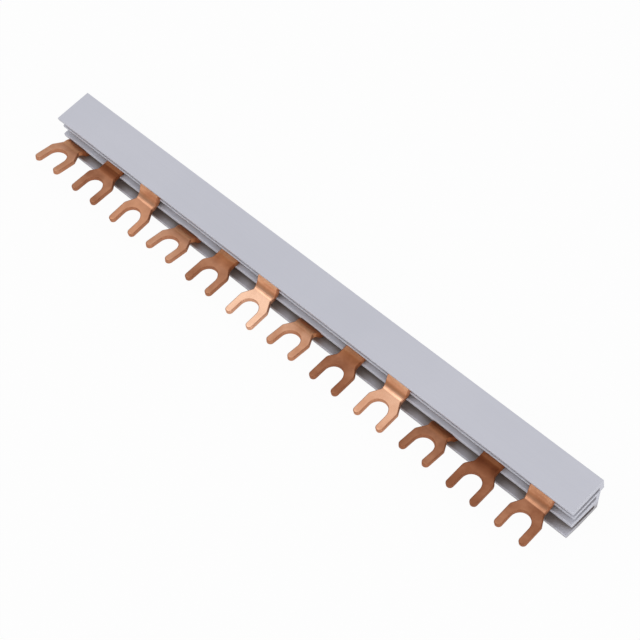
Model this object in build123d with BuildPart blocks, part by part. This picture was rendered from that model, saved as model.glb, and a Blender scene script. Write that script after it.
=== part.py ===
from build123d import *
import os
from math import cos, radians, tan

os.makedirs("parts", exist_ok=True)

# Three-phase comb busbar for a row of modular devices, with fork terminals.
# X runs along the row, the forks point to -Y, and the wide top wall faces +Z.
# The origin is at the middle of the bounding box, on the plane of the underside.

# Row of devices
module_pitch = 17.8
modules = 12
first_fork = 7.85  # from the left end of the extrusion to the middle of the first fork
last_fork = 10.95  # from the middle of the last fork to the right end
profile_length = first_fork + module_pitch * (modules - 1) + last_fork

# Copper bars
copper_thickness = 1.5
strip_width = 7.2
strip_overhang = 1.2  # from the side of the first fork's neck to the strip's end
slot_clearance = 0.1  # above and below a strip
back_clearance = 0.2  # between a strip's back edge and the closed end of its slot
root_radius = 0.8

# Fork terminal, seen from above
fork_width = 11.2
screw_slot = 6.4
neck_width = 7.3
tine_length = 4.9  # from the middle of the slot's round end to the tips
shoulder_start = 2.6  # from the middle of the slot's round end back to the widest corners
shoulder_radius = 1.0
middle_shoulder_start = 3.4
middle_shoulder_radius = 2.0
neck_start = 5.9  # from the middle of the slot's round end back to the narrow neck
fork_projection = 6.0  # from the front of the floor to the middle of the slot's round end

# Bends of the upper and lower bars
bend_radius = 1.0
upper_bend_gap = 0.65  # from the front of the top wall to the first bend
upper_bend_run = 1.6
upper_fork_drop = 0.45  # below the middle bar's level
lower_bend_gap = 0.2  # from the front of the lower web to the first bend
lower_bend_run = 2.5
lower_fork_rise = 0.2  # above the middle bar's level, at the slot's round end
lower_fork_tilt = 10

# Section of the extrusion
plate_width = 13.1
plate_thickness = 2.0
upper_web_setback = 0.5  # behind the front of the top wall
upper_web_thickness = 1.1
lower_web_lead = 0.6  # in front of the top wall
lower_web_thickness = 1.5
floor_lead = 2.4  # in front of the lower web
floor_thickness = 1.0
floor_nose_thickness = 1.2
lower_slot_tilt = 5
upper_slot_back = 1.75  # closed ends of the slots, in front of the back edge
middle_slot_back = 3.2
lower_slot_back = 4.2
lip_height = 4.3  # back flange that hangs from the top wall
lip_depth = 1.4
foot_back = 3.1  # from the back edge to the flat underside
foot_width = 7.7
plate_edge_radius = 0.3  # on the top wall's front edge, whose underside is rolled far back
nose_flat = 0.3  # flat left between the two rounds of each wall's front edge
slot_end_radius = 0.3
corner_radius = 0.4

# Reaches of the extrusion and the forks, forward from the back edge
upper_web_reach = plate_width - upper_web_setback
lower_web_reach = plate_width + lower_web_lead
floor_reach = lower_web_reach + floor_lead
fork_reach = floor_reach + fork_projection
fork_tip = fork_reach + tine_length

# Heights of the extrusion, worked out upwards from the underside
slot_height = copper_thickness + 2 * slot_clearance
slot_slope = tan(radians(lower_slot_tilt))
lower_slot_height = slot_height / cos(radians(lower_slot_tilt))
lower_slot_floor = floor_thickness
lower_mouth_floor = lower_slot_floor + slot_slope * (lower_web_reach - lower_slot_back)
lower_mouth_ceiling = lower_mouth_floor + lower_slot_height
middle_slot_floor = lower_mouth_ceiling + lower_web_thickness
middle_slot_ceiling = middle_slot_floor + slot_height
upper_slot_floor = middle_slot_ceiling + upper_web_thickness
upper_slot_ceiling = upper_slot_floor + slot_height
stack_height = upper_slot_ceiling + plate_thickness
floor_nose_top = lower_slot_floor + slot_slope * (floor_reach - lower_slot_back)

# Levels of the bars' mid-planes
upper_level = upper_slot_floor + slot_height / 2
middle_level = middle_slot_floor + slot_height / 2
lower_back_level = lower_slot_floor + lower_slot_height / 2

back_edge = fork_tip / 2
left_end = -profile_length / 2


def at(reach, height):
    """Point of the YZ section at a given distance in front of the back edge."""
    return (back_edge - reach, height)


def nose_radius(thickness, other=None):
    """Round on a corner of a wall's front edge, beside an equal one or one of a given radius."""
    if other is None:
        return (thickness - nose_flat) / 2
    return thickness - nose_flat - other


def corners_at(points):
    """Corners of the current sketch that lie at the given points."""
    return [vertices().sort_by_distance((*point, 0))[0] for point in points]


# Insulating extrusion: a wide top wall with a back flange, two webs and a floor around three slots
plate_nose = [at(plate_width, stack_height), at(plate_width, upper_slot_ceiling)]
upper_slot_end = [at(upper_slot_back, upper_slot_ceiling), at(upper_slot_back, upper_slot_floor)]
upper_web_nose = [at(upper_web_reach, upper_slot_floor), at(upper_web_reach, middle_slot_ceiling)]
middle_slot_end = [at(middle_slot_back, middle_slot_ceiling), at(middle_slot_back, middle_slot_floor)]
lower_web_nose = [at(lower_web_reach, middle_slot_floor), at(lower_web_reach, lower_mouth_ceiling)]
lower_slot_end = [
    at(lower_slot_back, lower_slot_floor + lower_slot_height),
    at(lower_slot_back, lower_slot_floor),
]
floor_nose = [at(floor_reach, floor_nose_top), at(floor_reach, floor_nose_top - floor_nose_thickness)]
foot = [at(foot_back + foot_width, 0), at(foot_back, 0)]
lip = [at(lip_depth, stack_height - lip_height), at(0, stack_height - lip_height)]

with BuildPart() as insulating_profile:
    with BuildSketch(Plane.YZ.offset(left_end)):
        with BuildLine():
            Polyline(
                at(0, stack_height),
                *plate_nose,
                *upper_slot_end,
                *upper_web_nose,
                *middle_slot_end,
                *lower_web_nose,
                *lower_slot_end,
                *floor_nose,
                *foot,
                *lip,
                close=True,
            )
        make_face()
        fillet(corners_at(plate_nose[:1]), plate_edge_radius)
        fillet(corners_at(plate_nose[1:]), nose_radius(plate_thickness, plate_edge_radius))
        fillet(corners_at(upper_web_nose), nose_radius(upper_web_thickness))
        fillet(corners_at(lower_web_nose), nose_radius(lower_web_thickness))
        fillet(corners_at(floor_nose), nose_radius(floor_nose_thickness))
        fillet(corners_at(upper_slot_end + middle_slot_end + lower_slot_end), slot_end_radius)
        fillet(corners_at([lip[1], foot[1]]), corner_radius)
    extrude(amount=profile_length)

insulating_profile.part.label = "insulating_profile"
export_step(insulating_profile.part, "parts/insulating_profile.step")

# Ends and back edges of the strips
end_recess = first_fork - neck_width / 2 - strip_overhang
strip_length = profile_length - 2 * end_recess
upper_strip_back = upper_slot_back + back_clearance
middle_strip_back = middle_slot_back + back_clearance
lower_strip_back = lower_slot_back + back_clearance


def fork_plan(neck_end, shoulder_start, shoulder_radius):
    """One fork seen from above, with the middle of the screw slot's round end at its origin."""
    tine_width = (fork_width - screw_slot) / 2
    tip_middle = (screw_slot / 2 + tine_width / 2, tine_width / 2 - tine_length)
    shoulder = (fork_width / 2, shoulder_start)
    neck_corner = (neck_width / 2, neck_start)
    with BuildSketch() as fork:
        with BuildLine():
            slot_end = CenterArc((0, 0), screw_slot / 2, 0, 90)
            tip = CenterArc(tip_middle, tine_width / 2, 180, 180)
            Line(slot_end @ 0, tip @ 0)
            Polyline(tip @ 1, shoulder, neck_corner, (neck_width / 2, neck_end), (0, neck_end), slot_end @ 1)
        make_face()
        fillet(corners_at([shoulder, neck_corner]), shoulder_radius)
        mirror(about=Plane.YZ)
    return fork.sketch


def comb_plan(phase, strip_back, shoulder_start, shoulder_radius):
    """Strip seen from above, with a fork at every third module."""
    fork_xs = [left_end + first_fork + module_pitch * n for n in range(phase, modules, 3)]
    strip_y = back_edge - strip_back - strip_width / 2
    fork = fork_plan(fork_reach - strip_back - strip_width / 2, shoulder_start, shoulder_radius)
    with BuildSketch() as comb:
        with Locations((0, strip_y)):
            Rectangle(strip_length, strip_width)
        with Locations([(x, back_edge - fork_reach) for x in fork_xs]):
            add(fork)
        roots = [(x + side * neck_width / 2, strip_y - strip_width / 2) for x in fork_xs for side in (-1, 1)]
        fillet(corners_at(roots), root_radius)
    return comb.sketch


# Upper bar: straight strip, then a joggle down to the forks
upper_bend_start = plate_width + upper_bend_gap
upper_fork_level = middle_level - upper_fork_drop

with BuildPart() as upper_comb_bar:
    with BuildSketch(Plane.YZ):
        with BuildLine():
            FilletPolyline(
                at(upper_strip_back, upper_level),
                at(upper_bend_start, upper_level),
                at(upper_bend_start + upper_bend_run, upper_fork_level),
                at(fork_tip, upper_fork_level),
                radius=bend_radius,
            )
        trace(line_width=copper_thickness)
    extrude(amount=strip_length / 2, both=True)
    with BuildSketch():
        add(comb_plan(2, upper_strip_back, shoulder_start, shoulder_radius))
    extrude(amount=stack_height, mode=Mode.INTERSECT)

upper_comb_bar.part.label = "upper_comb_bar"
export_step(upper_comb_bar.part, "parts/upper_comb_bar.step")

# Middle bar: flat from end to end, with rounder shoulders
with BuildPart() as middle_comb_bar:
    with BuildSketch(Plane.YZ):
        with BuildLine():
            Line(at(middle_strip_back, middle_level), at(fork_tip, middle_level))
        trace(line_width=copper_thickness)
    extrude(amount=strip_length / 2, both=True)
    with BuildSketch():
        add(comb_plan(1, middle_strip_back, middle_shoulder_start, middle_shoulder_radius))
    extrude(amount=stack_height, mode=Mode.INTERSECT)

middle_comb_bar.part.label = "middle_comb_bar"
export_step(middle_comb_bar.part, "parts/middle_comb_bar.step")

# Lower bar: strip in the tilted slot, then a rise to forks that climb towards their tips
lower_bend_start = lower_web_reach + lower_bend_gap
lower_bend_end = lower_bend_start + lower_bend_run
lower_fork_level = middle_level + lower_fork_rise
fork_slope = tan(radians(lower_fork_tilt))
strip_rise = slot_slope * (lower_bend_start - lower_slot_back)

with BuildPart() as lower_comb_bar:
    with BuildSketch(Plane.YZ):
        with BuildLine():
            FilletPolyline(
                at(lower_strip_back, lower_back_level + slot_slope * back_clearance),
                at(lower_bend_start, lower_back_level + strip_rise),
                at(lower_bend_end, lower_fork_level - fork_slope * (fork_reach - lower_bend_end)),
                at(fork_tip, lower_fork_level + fork_slope * tine_length),
                radius=bend_radius,
            )
        trace(line_width=copper_thickness)
    extrude(amount=strip_length / 2, both=True)
    with BuildSketch():
        add(comb_plan(0, lower_strip_back, shoulder_start, shoulder_radius))
    extrude(amount=stack_height, mode=Mode.INTERSECT)

lower_comb_bar.part.label = "lower_comb_bar"
export_step(lower_comb_bar.part, "parts/lower_comb_bar.step")
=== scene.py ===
import bisect
from collections import namedtuple
import math

import bmesh
import bpy
from mathutils import Matrix, Vector


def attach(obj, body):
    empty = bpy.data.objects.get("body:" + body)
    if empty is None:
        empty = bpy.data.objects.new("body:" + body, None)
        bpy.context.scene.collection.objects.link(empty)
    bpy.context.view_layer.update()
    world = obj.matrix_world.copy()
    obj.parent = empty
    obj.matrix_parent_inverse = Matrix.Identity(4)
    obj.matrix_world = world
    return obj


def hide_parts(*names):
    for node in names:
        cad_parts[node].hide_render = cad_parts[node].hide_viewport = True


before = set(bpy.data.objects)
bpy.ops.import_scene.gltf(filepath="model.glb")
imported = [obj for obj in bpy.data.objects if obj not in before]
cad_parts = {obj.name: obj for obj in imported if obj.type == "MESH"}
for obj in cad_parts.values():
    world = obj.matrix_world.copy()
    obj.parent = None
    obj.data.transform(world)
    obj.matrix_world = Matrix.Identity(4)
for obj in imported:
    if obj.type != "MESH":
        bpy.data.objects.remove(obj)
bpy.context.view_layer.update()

scene = bpy.context.scene
MM = 0.001

# Sizes of the part, in mm, as in the CAD. Distances run forwards from the back edge.
BACK = 13.5
PITCH = 17.8
MODULES = 12
FIRST = 7.85
LAST = 10.95
LENGTH = FIRST + PITCH * (MODULES - 1) + LAST
FIRST_X = FIRST - LENGTH / 2
THICKNESS = 1.5
STRIP_WIDTH = 7.2
STRIP_RECESS = 3.0
FORK_REACH = 22.1
FORK_TIP = 27.0
NECK_START = 5.9
NECK = 3.65
HALF_WIDTH = 5.6
HALF_SLOT = 3.2

# Small rounds in the plan of a bar; a full round is a hair under half its width
STRIP_CORNER = 0.15
ROOT_RADIUS = 0.8
HAIR = 0.001
TINE_ROUND = (HALF_WIDTH - HALF_SLOT) / 2 - HAIR
SLOT_ROUND = HALF_SLOT - HAIR

# Rounds of a bar's stamped edges
TOP_ROUND = 0.32
LOW_ROUND = 0.15

# Distances at which a bar's mesh is cut across, besides its bends, so that its tones can change there,
# and the least distance between two cuts
TONE_CUTS = [
    12.8, 13.1, 13.6, 13.9, 14.3, 14.6, 14.9, 15.2, 15.5, 15.9, 16.2,
    16.6, 17.0, 17.4, 18.0, 18.6, 19.2, 20.5, 22.0, 23.5, 25.0, 26.0,
]
CLOSEST_CUTS = 0.04

# Section of the extrusion: reaches of the walls and closed ends of the slots
PLATE = 13.1
UPPER_WEB = 12.6
LOWER_WEB = 13.7
FLOOR = 16.1
UPPER_SLOT = 1.75
MIDDLE_SLOT = 3.2
LOWER_SLOT = 4.2
LIP_DEPTH = 1.4
FOOT_BACK = 3.1
FOOT_FRONT = 10.8

# Section of the extrusion: heights from the underside
SLOT_SLOPE = math.tan(math.radians(5))
SLOT_HEIGHT = 1.7
LOWER_WEB_THICKNESS = 1.5
UPPER_WEB_THICKNESS = 1.1
PLATE_THICKNESS = 2.0
LIP_HEIGHT = 4.3
NOSE_THICKNESS = 1.2
FLOOR_TOP = 1.0
MOUTH_FLOOR = FLOOR_TOP + SLOT_SLOPE * (LOWER_WEB - LOWER_SLOT)
LOWER_SLOT_HEIGHT = SLOT_HEIGHT / math.cos(math.atan(SLOT_SLOPE))
MIDDLE_FLOOR = MOUTH_FLOOR + LOWER_SLOT_HEIGHT + LOWER_WEB_THICKNESS
UPPER_FLOOR = MIDDLE_FLOOR + SLOT_HEIGHT + UPPER_WEB_THICKNESS
TOP = UPPER_FLOOR + SLOT_HEIGHT + PLATE_THICKNESS
MIDDLE_LEVEL = MIDDLE_FLOOR + SLOT_HEIGHT / 2
UPPER_LEVEL = UPPER_FLOOR + SLOT_HEIGHT / 2
LOWER_LEVEL = FLOOR_TOP + LOWER_SLOT_HEIGHT / 2

# Ends of the extrusion: a finely broken edge, and a left end cut out of square by so much per height
END_CHAMFER = 0.08
CUT_SLANT = 0.18


# The camera, as fitted to the photograph
def make_camera():
    data = bpy.data.cameras.new("camera")
    data.sensor_width = 36.0
    data.lens = 100.58
    data.clip_start = 0.01
    data.clip_end = 20.0
    camera = bpy.data.objects.new("camera", data)
    place = Vector((249.839, -150.471, 447.330)) * MM
    right = Vector((0.70448711, 0.69504715, -0.14355268))
    up = Vector((-0.54212503, 0.65754687, 0.52319457))
    back = Vector((0.45803751, -0.29076033, 0.84003576))
    turn = Matrix((right, up, back)).transposed().to_4x4()
    camera.matrix_world = Matrix.Translation(place) @ turn
    scene.collection.objects.link(camera)
    scene.camera = camera


# Outlines with rounded corners
def corner_arc(before, here, after, radius, step):
    """Points of the arc that rounds a corner, or none where the line runs straight on."""
    here = Vector(here)
    back = (Vector(before) - here).normalized()
    ahead = (Vector(after) - here).normalized()
    inner = back.angle(ahead)
    if radius <= 0 or inner > math.pi - 1e-3:
        return []
    cut = radius / math.tan(inner / 2)
    middle = here + (back + ahead).normalized() * (radius / math.sin(inner / 2))
    start = here + back * cut - middle
    end = here + ahead * cut - middle
    sweep = math.pi - inner
    turn = 1 if start.x * end.y - start.y * end.x > 0 else -1
    pieces = max(2, math.ceil(sweep / step))
    out = []
    for k in range(pieces + 1):
        a = turn * sweep * k / pieces
        c, s = math.cos(a), math.sin(a)
        out.append((middle.x + start.x * c - start.y * s, middle.y + start.x * s + start.y * c))
    return out


def rounded(corners, step=math.radians(9)):
    """Closed outline from corners (x, y, radius), with an arc in place of each corner."""
    same = 1e-4
    out = []
    count = len(corners)
    for i, (x, y, radius) in enumerate(corners):
        arc = corner_arc(corners[i - 1][:2], (x, y), corners[(i + 1) % count][:2], radius, step)
        for p in arc or [(x, y)]:
            if not out or math.dist(p, out[-1]) > same:
                out.append(p)
    if math.dist(out[0], out[-1]) < same:
        out.pop()
    return out


def inset(outline, distance):
    """The outline moved inwards, for an outline that runs anticlockwise."""
    out = []
    count = len(outline)
    for i, p in enumerate(outline):
        here = Vector(p)
        a = (here - Vector(outline[i - 1])).normalized()
        b = (Vector(outline[(i + 1) % count]) - here).normalized()
        na = Vector((-a.y, a.x))
        nb = Vector((-b.y, b.x))
        move = (na + nb) / max(0.3, 1 + na.dot(nb))
        out.append(tuple(here + move * distance))
    return out


def skin(bm, loops):
    """Faces between neighbouring loops of vertices, and a face over each end."""
    count = len(loops[0])
    for a, b in zip(loops, loops[1:]):
        for i in range(count):
            k = (i + 1) % count
            bm.faces.new((a[i], a[k], b[k], b[i]))
    bm.faces.new(loops[-1])
    bm.faces.new(list(reversed(loops[0])))


def finish_mesh(node, bm):
    """Object for a finished mesh, in place of the CAD's node."""
    bmesh.ops.recalc_face_normals(bm, faces=bm.faces[:])
    mesh = bpy.data.meshes.new(node)
    bm.to_mesh(mesh)
    bm.free()
    mesh.shade_smooth()
    mesh.set_sharp_from_angle(angle=math.radians(40))
    piece = bpy.data.objects.new(node + "_skin", mesh)
    scene.collection.objects.link(piece)
    smooth = piece.modifiers.new("normals", "WEIGHTED_NORMAL")
    smooth.keep_sharp = True
    smooth.weight = 80
    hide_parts(node)
    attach(piece, "root")
    return piece


# Copper bars. A bar has its first fork's place, the distance of its strip's back edge, the shoulders of
# its forks, what is trimmed off their tips, the taper of a neck's half width, the height of its middle
# line at the back, its bends, its forks, and points (distance, amount) of a warm tint, which is a painted
# reflection of copper in its own bends, and of dullness.
Bar = namedtuple("Bar", "name phase back shoulder shoulder_radius trim taper level bends forks warm dull")

# A fork has a rise above the middle bar's level, a tilt in degrees, and points (distance, tarnish), where
# the tarnish also carries painted shade that sets how bright each fork and neck looks.
Fork = namedtuple("Fork", "rise tilt tarnish")


def between(s, points):
    """Value at a distance s, from points (distance, value) in order, with even change between them."""
    if s <= points[0][0]:
        return points[0][1]
    for (s0, v0), (s1, v1) in zip(points, points[1:]):
        if s < s1:
            return v0 + (v1 - v0) * (s - s0) / (s1 - s0)
    return points[-1][1]


class Path:
    """Height and slope of a bar's middle line at a distance from the back edge."""

    def __init__(self, corners):
        points = [corners[0][:2]]
        for before, here, after in zip(corners, corners[1:], corners[2:]):
            points += corner_arc(before[:2], here[:2], after[:2], here[2], math.radians(8))
        points.append(corners[-1][:2])
        self.s = [p[0] for p in points]
        self.z = [p[1] for p in points]

    def at(self, s):
        """Height and slope angle at a distance s."""
        i = min(max(bisect.bisect_right(self.s, s) - 1, 0), len(self.s) - 2)
        t = (s - self.s[i]) / (self.s[i + 1] - self.s[i])
        z = self.z[i] + (self.z[i + 1] - self.z[i]) * t
        return z, self.slope(i, t)

    def segment_slope(self, k):
        k = min(max(k, 0), len(self.s) - 2)
        return math.atan2(self.z[k + 1] - self.z[k], self.s[k + 1] - self.s[k])

    def slope(self, i, t):
        """Slope that turns evenly through the bends, so that the faces there are rounded."""
        straight_from = 1.0
        here = self.segment_slope(i)
        if self.s[i + 1] - self.s[i] > straight_from:
            return here
        start = (self.segment_slope(i - 1) + here) / 2 if i else here
        end = (self.segment_slope(i + 1) + here) / 2
        return start + (end - start) * t


def fork_path(bar, fork):
    """Middle line of one fork, from the back of the strip to beyond the tip.

    Bends (distance, height, radius) run outwards. The first has its own height, and each later one a
    height above the fork's plane.
    """
    slope = math.tan(math.radians(fork.tilt))
    end = FORK_TIP + 0.5

    def plane(s):
        return MIDDLE_LEVEL + fork.rise - slope * (FORK_REACH - s)

    line = [(bar.back, bar.level), bar.bends[0]]
    for s, above, radius in bar.bends[1:]:
        line.append((s, plane(s) + above, radius))
    line.append((end, plane(end)))
    return Path(line)


def comb_outline(bar, forks):
    """Plan of a bar as x and distance from the back edge, anticlockwise in that order."""
    front = bar.back + STRIP_WIDTH
    tip = FORK_TIP - bar.trim
    end = LENGTH / 2 - STRIP_RECESS
    half = [
        (NECK + bar.taper, front, ROOT_RADIUS),
        (NECK, FORK_REACH - NECK_START, bar.shoulder_radius),
        (HALF_WIDTH, FORK_REACH - bar.shoulder, bar.shoulder_radius),
        (HALF_WIDTH, tip, TINE_ROUND),
        (HALF_SLOT, tip, TINE_ROUND),
        (HALF_SLOT, FORK_REACH - HALF_SLOT, SLOT_ROUND),
    ]
    corners = [(-end, bar.back, STRIP_CORNER), (end, bar.back, STRIP_CORNER), (end, front, STRIP_CORNER)]
    for x in reversed(forks):
        corners += [(x + u, s, r) for u, s, r in half]
        corners += [(x - u, s, r) for u, s, r in reversed(half)]
    corners.append((-end, front, STRIP_CORNER))
    return rounded(corners)


def edge_rings():
    """Inset and height of each ring around a bar, from the lower face over the edge to the upper."""
    half = THICKNESS / 2
    rings = []
    for k in range(4):
        a = math.pi / 2 * k / 3
        rings.append((LOW_ROUND * (1 - math.sin(a)), -half + LOW_ROUND * (1 - math.cos(a))))
    for k in range(6):
        a = math.pi / 2 * (1 - k / 5)
        rings.append((TOP_ROUND * (1 - math.sin(a)), half - TOP_ROUND * (1 - math.cos(a))))
    return rings


def cut_across(bm, places):
    """Cuts through the whole mesh at distances from the back edge."""
    last = -1.0
    for s in sorted(places):
        if s - last >= CLOSEST_CUTS:
            geom = bm.verts[:] + bm.edges[:] + bm.faces[:]
            bmesh.ops.bisect_plane(bm, geom=geom, dist=1e-5, plane_co=(0, s, 0), plane_no=(0, 1, 0))
            last = s


def comb_bar(bar):
    """Bar with rounded stamped edges, made flat and then bent fork by fork."""
    forks = [FIRST_X + PITCH * n for n in range(bar.phase, MODULES, 3)]
    paths = [fork_path(bar, fork) for fork in bar.forks]
    outline = comb_outline(bar, forks)
    bm = bmesh.new()
    edge_layer = bm.verts.layers.float.new("edge")
    # Tarnish, with painted shade in it
    tarnish_and_shade_layer = bm.verts.layers.float.new("tarnish")
    # Painted reflection of copper in the bends, as a warm tint
    painted_reflection_layer = bm.verts.layers.float.new("warm")
    dull_layer = bm.verts.layers.float.new("dull")
    loops = []
    for distance, height in edge_rings():
        loops.append([bm.verts.new((x, y, height)) for x, y in inset(outline, distance)])
    for loop in loops[1:-1]:
        for v in loop:
            v[edge_layer] = 1.0
    skin(bm, loops)
    bends = {round(s, 3) for path in paths for s in path.s[1:-1]}
    cut_across(bm, sorted(bends) + TONE_CUTS)
    for v in bm.verts:
        x, s, t = v.co
        which = min(range(len(forks)), key=lambda n: abs(forks[n] - x))
        v[tarnish_and_shade_layer] = between(s, bar.forks[which].tarnish)
        v[painted_reflection_layer] = between(s, bar.warm)
        v[dull_layer] = between(s, bar.dull)
        z, slope = paths[which].at(s)
        s_new = s - t * math.sin(slope)
        z_new = z + t * math.cos(slope)
        v.co = (x * MM, (BACK - s_new) * MM, z_new * MM)
    return finish_mesh(bar.name, bm)


def upper_bar():
    """The upper bar: a hollow bend down beyond the top wall, then a crease before the flat fork."""
    def tones(*tarnish):
        """Tarnish and painted shade from the top wall's edge through the hollow and up to the crease,
        then on the fork.
        """
        return list(zip((13.1, 13.6, 13.9, 14.9, 15.9, 16.2), tarnish))

    return Bar(
        name="upper_comb_bar",
        phase=2,
        back=1.95,
        shoulder=2.6,
        shoulder_radius=1.0,
        trim=0.03,
        taper=1.0,
        level=UPPER_LEVEL,
        bends=[(12.60, UPPER_LEVEL, 0.35), (13.65, 0.60, 4.3), (15.90, 0.0, 0.3)],
        forks=[
            # Tarnish points, partly painted shade along the neck and on each fork
            Fork(-0.88, -2.0, tones(0.24, 0.42, 0.40, 0.42, 0.42, 0.55)),
            Fork(-0.52, -0.3, tones(0.16, 0.46, 0.46, 0.32, 0.22, 0.00)),
            Fork(-0.26, -0.8, tones(0.20, 0.50, 0.58, 0.40, 0.32, 0.36)),
            Fork(-0.31, -1.3, tones(0.30, 0.56, 0.64, 0.62, 0.55, 0.88)),
        ],
        # Painted reflection of copper, strongest in the hollow
        warm=[(13.6, 0.6), (14.6, 0.0)],
        dull=[(13.5, 0.24), (14.5, 0.0)],
    )


def middle_bar():
    """The middle bar: almost flat, with tarnish and painted shade darkening the necks of its outer forks.
    """
    return Bar(
        name="middle_comb_bar",
        phase=1,
        back=3.4,
        shoulder=3.4,
        shoulder_radius=2.0,
        trim=0.09,
        taper=0.0,
        level=MIDDLE_LEVEL,
        bends=[(14.2, MIDDLE_LEVEL, 4.0), (17.2, 0.0, 8.0)],
        forks=[
            # Tarnish points, partly painted shade on the necks and forks
            Fork(-0.02, 2.4, [(13.7, 0.60), (14.1, 1.10), (15.0, 1.25), (16.6, 0.80)]),
            Fork(0.09, 2.2, [(13.7, 0.25), (14.3, 0.70), (15.5, 0.85), (18.0, 0.78)]),
            Fork(0.04, 1.2, [(13.7, 0.28), (14.3, 0.68), (15.5, 0.85), (17.0, 0.94)]),
            Fork(-0.15, 0.1, [(13.7, 0.80), (14.3, 1.35), (15.0, 1.50), (16.2, 1.40), (18.2, 1.00)]),
        ],
        # Painted reflection of copper, fading out beyond the bend
        warm=[(14.5, 1.0), (17.5, 0.0)],
        dull=[(14.5, 0.15), (17.5, 0.0)],
    )


def lower_bar():
    """The lower bar: out of its tilted slot, then a soft bend up to forks that climb to their tips."""
    back = 4.4
    bend = 13.75
    return Bar(
        name="lower_comb_bar",
        phase=0,
        back=back,
        shoulder=2.6,
        shoulder_radius=1.0,
        trim=0.18,
        taper=1.4,
        level=LOWER_LEVEL + SLOT_SLOPE * (back - LOWER_SLOT),
        bends=[(bend, LOWER_LEVEL + SLOT_SLOPE * (bend - LOWER_SLOT), 0.9), (14.8, 0.0, 3.2)],
        forks=[
            # Tarnish points, partly painted shade along the neck and on each fork
            Fork(0.28, 12.0, [(14.9, 0.55), (15.5, 0.05), (16.2, 0.05), (17.0, 0.46)]),
            Fork(0.21, 11.1, [(14.9, 0.60), (15.5, 0.05), (16.2, 0.05), (17.0, 0.44)]),
            Fork(0.16, 8.9, [(14.9, 0.65), (15.5, 0.00), (16.2, 0.00), (17.0, 0.40)]),
            Fork(0.15, 9.2, [(14.9, 0.95), (15.5, 0.62), (16.2, 0.60), (17.4, 0.86)]),
        ],
        # Painted reflection of copper, fading out beyond the bend
        warm=[(16.2, 1.0), (17.6, 0.0)],
        dull=[(16.2, 0.15), (17.6, 0.0)],
    )


# The extrusion
def section():
    """Section of the extrusion as distance from the back edge and height, with corner radii."""
    nose = FLOOR_TOP + SLOT_SLOPE * (FLOOR - LOWER_SLOT)
    return rounded([
        (0, TOP, 0.12),
        (0, TOP - LIP_HEIGHT, 0.4),
        (LIP_DEPTH, TOP - LIP_HEIGHT, 0.15),
        (FOOT_BACK, 0, 0.4),
        (FOOT_FRONT, 0, 1.5),
        (FLOOR, nose - NOSE_THICKNESS, 0.5),
        (FLOOR, nose, 0.35),
        (LOWER_SLOT, FLOOR_TOP, 0.3),
        (LOWER_SLOT, FLOOR_TOP + LOWER_SLOT_HEIGHT, 0.3),
        (LOWER_WEB, MOUTH_FLOOR + LOWER_SLOT_HEIGHT, 0.5),
        (LOWER_WEB, MIDDLE_FLOOR, 0.35),
        (MIDDLE_SLOT, MIDDLE_FLOOR, 0.3),
        (MIDDLE_SLOT, MIDDLE_FLOOR + SLOT_HEIGHT, 0.3),
        (UPPER_WEB, MIDDLE_FLOOR + SLOT_HEIGHT, 0.35),
        (UPPER_WEB, UPPER_FLOOR, 0.25),
        (UPPER_SLOT, UPPER_FLOOR, 0.3),
        (UPPER_SLOT, UPPER_FLOOR + SLOT_HEIGHT, 0.3),
        (PLATE, UPPER_FLOOR + SLOT_HEIGHT, 1.4),
        (PLATE, TOP, 0.25),
    ])


def make_profile():
    """The extrusion, with finely broken end edges; its left end is cut a little out of square."""
    outline = section()
    half = LENGTH / 2
    stations = [
        (-half, END_CHAMFER, CUT_SLANT),
        (-half + END_CHAMFER, 0.0, CUT_SLANT),
        (half - END_CHAMFER, 0.0, 0.0),
        (half, END_CHAMFER, 0.0),
    ]
    bm = bmesh.new()
    loops = []
    for x, distance, slant in stations:
        ring = [(x + slant * (TOP - z), BACK - s, z) for s, z in inset(outline, distance)]
        loops.append([bm.verts.new(Vector(p) * MM) for p in ring])
    skin(bm, loops)
    return finish_mesh("insulating_profile", bm)


# Materials
def add_node(tree, kind, links=None, **values):
    """New node with its properties set, and each input linked to a socket or set to a value."""
    node = tree.nodes.new(kind)
    for key, value in values.items():
        setattr(node, key, value)
    for socket, source in (links or {}).items():
        if isinstance(source, bpy.types.NodeSocket):
            tree.links.new(source, node.inputs[socket])
        else:
            node.inputs[socket].default_value = source
    return node


def node_of_type(tree, kind):
    return next(n for n in tree.nodes if n.type == kind)


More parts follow.
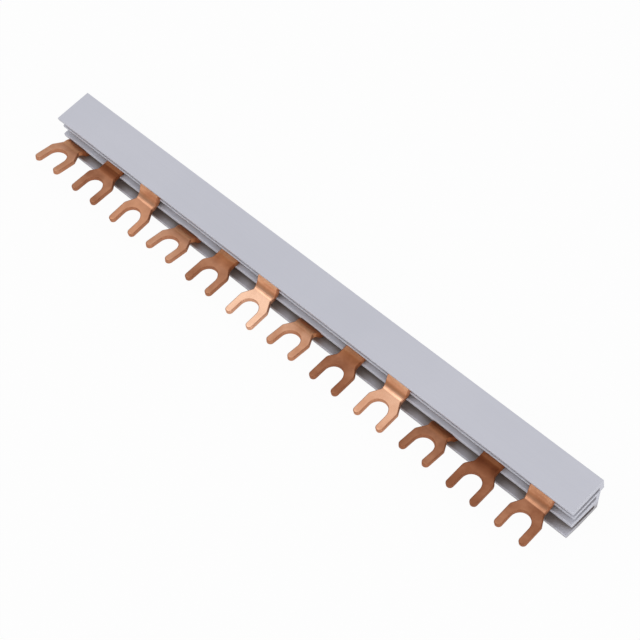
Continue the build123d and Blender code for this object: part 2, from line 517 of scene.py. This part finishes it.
class Nodes:
    """A material's node tree, with a short way to make the nodes used here."""

    def __init__(self, name):
        self.material = bpy.data.materials.new(name)
        self.material.use_nodes = True
        self.tree = self.material.node_tree
        self.shader = node_of_type(self.tree, "BSDF_PRINCIPLED")
        self.output = node_of_type(self.tree, "OUTPUT_MATERIAL")

    def new(self, kind, links=None, **values):
        return add_node(self.tree, kind, links, **values)

    def link(self, source, target):
        self.tree.links.new(source, target)

    def coordinates(self):
        return self.new("ShaderNodeTexCoord").outputs["Object"]

    def attribute(self, name):
        return self.new("ShaderNodeAttribute", attribute_name=name).outputs["Fac"]

    def noise(self, coords, scale, detail=4.0, roughness=0.5):
        links = {"Vector": coords, "Scale": scale, "Detail": detail, "Roughness": roughness}
        return self.new("ShaderNodeTexNoise", links).outputs["Fac"]

    def stretch(self, coords, x, y, z):
        links = {0: coords, 1: (x, y, z)}
        return self.new("ShaderNodeVectorMath", links, operation="MULTIPLY").outputs[0]

    def math(self, operation, a, b):
        return self.new("ShaderNodeMath", {0: a, 1: b}, operation=operation).outputs[0]

    def remap(self, value, low, high, to_low, to_high):
        links = {"Value": value, "From Min": low, "From Max": high, "To Min": to_low, "To Max": to_high}
        return self.new("ShaderNodeMapRange", links).outputs[0]

    def mix(self, factor, a, b, blend="MIX"):
        links = {0: factor, 6: a, 7: b}
        return self.new("ShaderNodeMix", links, data_type="RGBA", blend_type=blend).outputs[2]

    def bump(self, height, distance, strength, normal=None):
        links = {"Height": height, "Distance": distance, "Strength": strength}
        if normal is not None:
            links["Normal"] = normal
        return self.new("ShaderNodeBump", links).outputs["Normal"]


def copper():
    """Bare rolled copper: satin, darker on some forks and necks by tarnish and painted shade, duller at
    the cut edges and darkened there by painted shade, warmed in the bends by a painted reflection of
    copper in copper.
    """
    clean = (0.95, 0.600, 0.420, 1)
    browned = (0.61, 0.300, 0.175, 1)
    brown = (0.27, 0.102, 0.049, 1)
    darkest = (0.13, 0.036, 0.013, 1)
    fleck = (0.36, 0.15, 0.08, 1)
    # Colour of the painted shade on the cut edges
    edge_shade = (0.40, 0.165, 0.085, 1)
    # Tint of the painted reflection of copper in its bends
    reflection_tint = (1.0, 0.85, 0.65, 1)

    m = Nodes("copper")
    coords = m.coordinates()
    cloud = m.noise(coords, 120.0, 5.0, 0.6)
    fine = m.noise(coords, 1500.0, 3.0, 0.6)
    rolled = m.noise(m.stretch(coords, 260.0, 5200.0, 2600.0), 1.0, 3.0, 0.55)
    edge = m.attribute("edge")
    warm = m.attribute("warm")
    dull = m.attribute("dull")
    # Tarnish and painted shade from the bar, with random cloudy change; more of it gives a darker copper
    tarnish = m.math("ADD", m.attribute("tarnish"), m.remap(cloud, 0.3, 0.7, -0.16, 0.16))

    base = m.mix(m.remap(tarnish, 0.0, 0.5, 0.0, 1.0), clean, browned)
    base = m.mix(m.remap(tarnish, 0.5, 1.0, 0.0, 1.0), base, brown)
    base = m.mix(m.remap(tarnish, 1.0, 1.5, 0.0, 1.0), base, darkest)
    base = m.mix(m.remap(fine, 0.35, 0.65, 0.0, 0.08), base, fleck)
    # Painted shade: the cut edges darkened, standing in for the shaded surroundings they reflect
    base = m.mix(m.math("MULTIPLY", edge, 0.5), base, edge_shade)
    # Painted reflection: a warm tint multiplied in where the bends face copper
    base = m.mix(warm, base, reflection_tint, blend="MULTIPLY")
    m.link(base, m.shader.inputs["Base Color"])

    rough = m.math("ADD", m.remap(cloud, 0.3, 0.7, 0.22, 0.27), m.math("MULTIPLY", tarnish, 0.14))
    rough = m.math("ADD", rough, dull)
    rough = m.math("ADD", rough, m.math("MULTIPLY", edge, 0.30))
    rough = m.math("ADD", rough, m.remap(rolled, 0.3, 0.7, -0.02, 0.02))
    m.link(rough, m.shader.inputs["Roughness"])

    m.shader.inputs["Metallic"].default_value = 1.0
    m.shader.inputs["Specular Tint"].default_value = (1.0, 0.75, 0.60, 1)
    m.shader.inputs["Coat Weight"].default_value = 0.1
    m.shader.inputs["Coat Roughness"].default_value = 0.22
    normal = m.bump(rolled, 0.00002, 0.05)
    normal = m.bump(fine, 0.00002, 0.03, normal)
    m.link(normal, m.shader.inputs["Normal"])
    return m.material


def plastic():
    """Rigid grey extruded plastic, with faint die lines along its length and painted shade in its
    hollows.
    """
    darker = (0.522, 0.530, 0.592, 1)
    lighter = (0.552, 0.557, 0.618, 1)
    line_grey = (0.44, 0.44, 0.48, 1)
    # Colour of the painted shade in the hollows
    painted_shade = (0.200, 0.170, 0.155, 1)

    m = Nodes("grey_plastic")
    coords = m.coordinates()
    cloud = m.noise(coords, 30.0, 4.0, 0.55)
    lines = m.noise(m.stretch(coords, 6.0, 2600.0, 2600.0), 1.0, 4.0, 0.6)
    grain = m.noise(coords, 2600.0, 2.0, 0.6)
    base = m.mix(m.remap(cloud, 0.3, 0.7, 0.0, 1.0), darker, lighter)
    base = m.mix(m.remap(lines, 0.35, 0.65, 0.0, 0.10), base, line_grey)

    # Painted shade: a dark brownish grey mixed in by ambient occlusion, in every deep gap, and more
    # widely in the low mouth over the floor
    hidden = m.new("ShaderNodeAmbientOcclusion", {"Distance": 0.006}, samples=8).outputs["AO"]
    height = m.new("ShaderNodeSeparateXYZ", {0: coords}).outputs["Z"]
    low = m.remap(height, 0.0028, 0.0042, 1.0, 0.0)
    # Mask of the painted shade, from ambient occlusion and low height
    shade_mask = m.math("MULTIPLY", m.remap(hidden, 0.38, 0.85, 1.0, 0.0), low)
    shade_mask = m.math("MAXIMUM", shade_mask, m.remap(hidden, 0.10, 0.40, 1.0, 0.0))
    base = m.mix(shade_mask, base, painted_shade)
    m.link(base, m.shader.inputs["Base Color"])

    rough = m.remap(cloud, 0.3, 0.7, 0.40, 0.50)
    rough = m.math("ADD", rough, m.remap(grain, 0.3, 0.7, -0.03, 0.05))
    m.link(rough, m.shader.inputs["Roughness"])
    m.shader.inputs["IOR"].default_value = 1.5
    normal = m.bump(lines, 0.00003, 0.10)
    normal = m.bump(grain, 0.00002, 0.10, normal)
    m.link(normal, m.shader.inputs["Normal"])
    return m.material


# The studio
def seen_directly(tree):
    """1 for camera, mirror and transmission rays, which see the white background."""
    path = add_node(tree, "ShaderNodeLightPath").outputs
    links = {0: path["Is Camera Ray"], 1: path["Is Glossy Ray"]}
    seen = add_node(tree, "ShaderNodeMath", links, operation="MAXIMUM").outputs[0]
    links = {0: seen, 1: path["Is Transmission Ray"]}
    return add_node(tree, "ShaderNodeMath", links, operation="MAXIMUM").outputs[0]


def make_floor():
    """Wide white floor that still takes the part's shadow."""
    size = 6.0
    whiteness = 0.96
    corners = [(-size, -size, 0), (size, -size, 0), (size, size, 0), (-size, size, 0)]
    mesh = bpy.data.meshes.new("floor")
    mesh.from_pydata(corners, [], [(0, 1, 2, 3)])
    floor = bpy.data.objects.new("floor", mesh)
    scene.collection.objects.link(floor)
    m = Nodes("floor")
    m.shader.inputs["Base Color"].default_value = (0.62, 0.62, 0.62, 1)
    m.shader.inputs["Roughness"].default_value = 0.9
    m.shader.inputs["Specular IOR Level"].default_value = 0.1
    glow = m.new("ShaderNodeEmission", {"Color": (1, 1, 1, 1), "Strength": 1.0})
    mixed = m.new("ShaderNodeMixShader", {0: m.math("MULTIPLY", seen_directly(m.tree), whiteness)})
    m.link(m.shader.outputs[0], mixed.inputs[1])
    m.link(glow.outputs[0], mixed.inputs[2])
    m.link(mixed.outputs[0], m.output.inputs["Surface"])
    floor.data.materials.append(m.material)


def make_world():
    """Even grey light; what is seen of it is a white tent, dim above the horizon, bright overhead."""
    world = bpy.data.worlds.new("studio")
    world.use_nodes = True
    scene.world = world
    tree = world.node_tree
    background = node_of_type(tree, "BACKGROUND")
    output = node_of_type(tree, "OUTPUT_WORLD")

    def ramp(value, low, high, to_low, to_high):
        links = {"Value": value, "From Min": low, "From Max": high, "To Min": to_low, "To Max": to_high}
        return add_node(tree, "ShaderNodeMapRange", links, interpolation_type="SMOOTHSTEP").outputs[0]

    direction = add_node(tree, "ShaderNodeTexCoord").outputs["Generated"]
    parts = add_node(tree, "ShaderNodeSeparateXYZ", {0: direction}).outputs
    links = {0: parts["Y"], 1: 0.15, 2: parts["Z"]}
    leaning = add_node(tree, "ShaderNodeMath", links, operation="MULTIPLY_ADD").outputs[0]
    horizon = ramp(parts["Z"], 0.05, 0.25, 1.0, 0.42)
    ceiling = ramp(leaning, 0.50, 0.85, 0.0, 0.63)
    tent = add_node(tree, "ShaderNodeMath", {0: horizon, 1: ceiling}, operation="ADD").outputs[0]

    background.inputs["Color"].default_value = (0.99, 0.99, 1.0, 1)
    background.inputs["Strength"].default_value = 0.84
    seen = add_node(tree, "ShaderNodeBackground", {"Color": (1.0, 1.0, 1.0, 1), "Strength": tent})
    mixed = add_node(tree, "ShaderNodeMixShader", {0: seen_directly(tree)})
    tree.links.new(background.outputs[0], mixed.inputs[1])
    tree.links.new(seen.outputs[0], mixed.inputs[2])
    tree.links.new(mixed.outputs[0], output.inputs["Surface"])


def area(name, azimuth, elevation, distance, size, power):
    """Square soft lamp that faces the part."""
    a = math.radians(azimuth)
    e = math.radians(elevation)
    away = Vector((math.cos(e) * math.cos(a), math.cos(e) * math.sin(a), math.sin(e)))
    data = bpy.data.lights.new(name, "AREA")
    data.energy = power
    data.size = size
    light = bpy.data.objects.new(name, data)
    light.location = away * distance
    light.rotation_euler = away.to_track_quat("Z", "Y").to_euler()
    scene.collection.objects.link(light)


def make_lights():
    area("key", azimuth=210, elevation=58, distance=1.1, size=0.55, power=0.85)
    area("front", azimuth=285, elevation=32, distance=1.2, size=0.50, power=0.9)
    area("fill", azimuth=-15, elevation=12, distance=1.2, size=0.50, power=3.4)


make_camera()
bars = [comb_bar(bar) for bar in (upper_bar(), middle_bar(), lower_bar())]
profile = make_profile()
metal = copper()
for bar in bars:
    bar.data.materials.append(metal)
profile.data.materials.append(plastic())
make_floor()
make_world()
make_lights()
scene.view_settings.view_transform = "Standard"
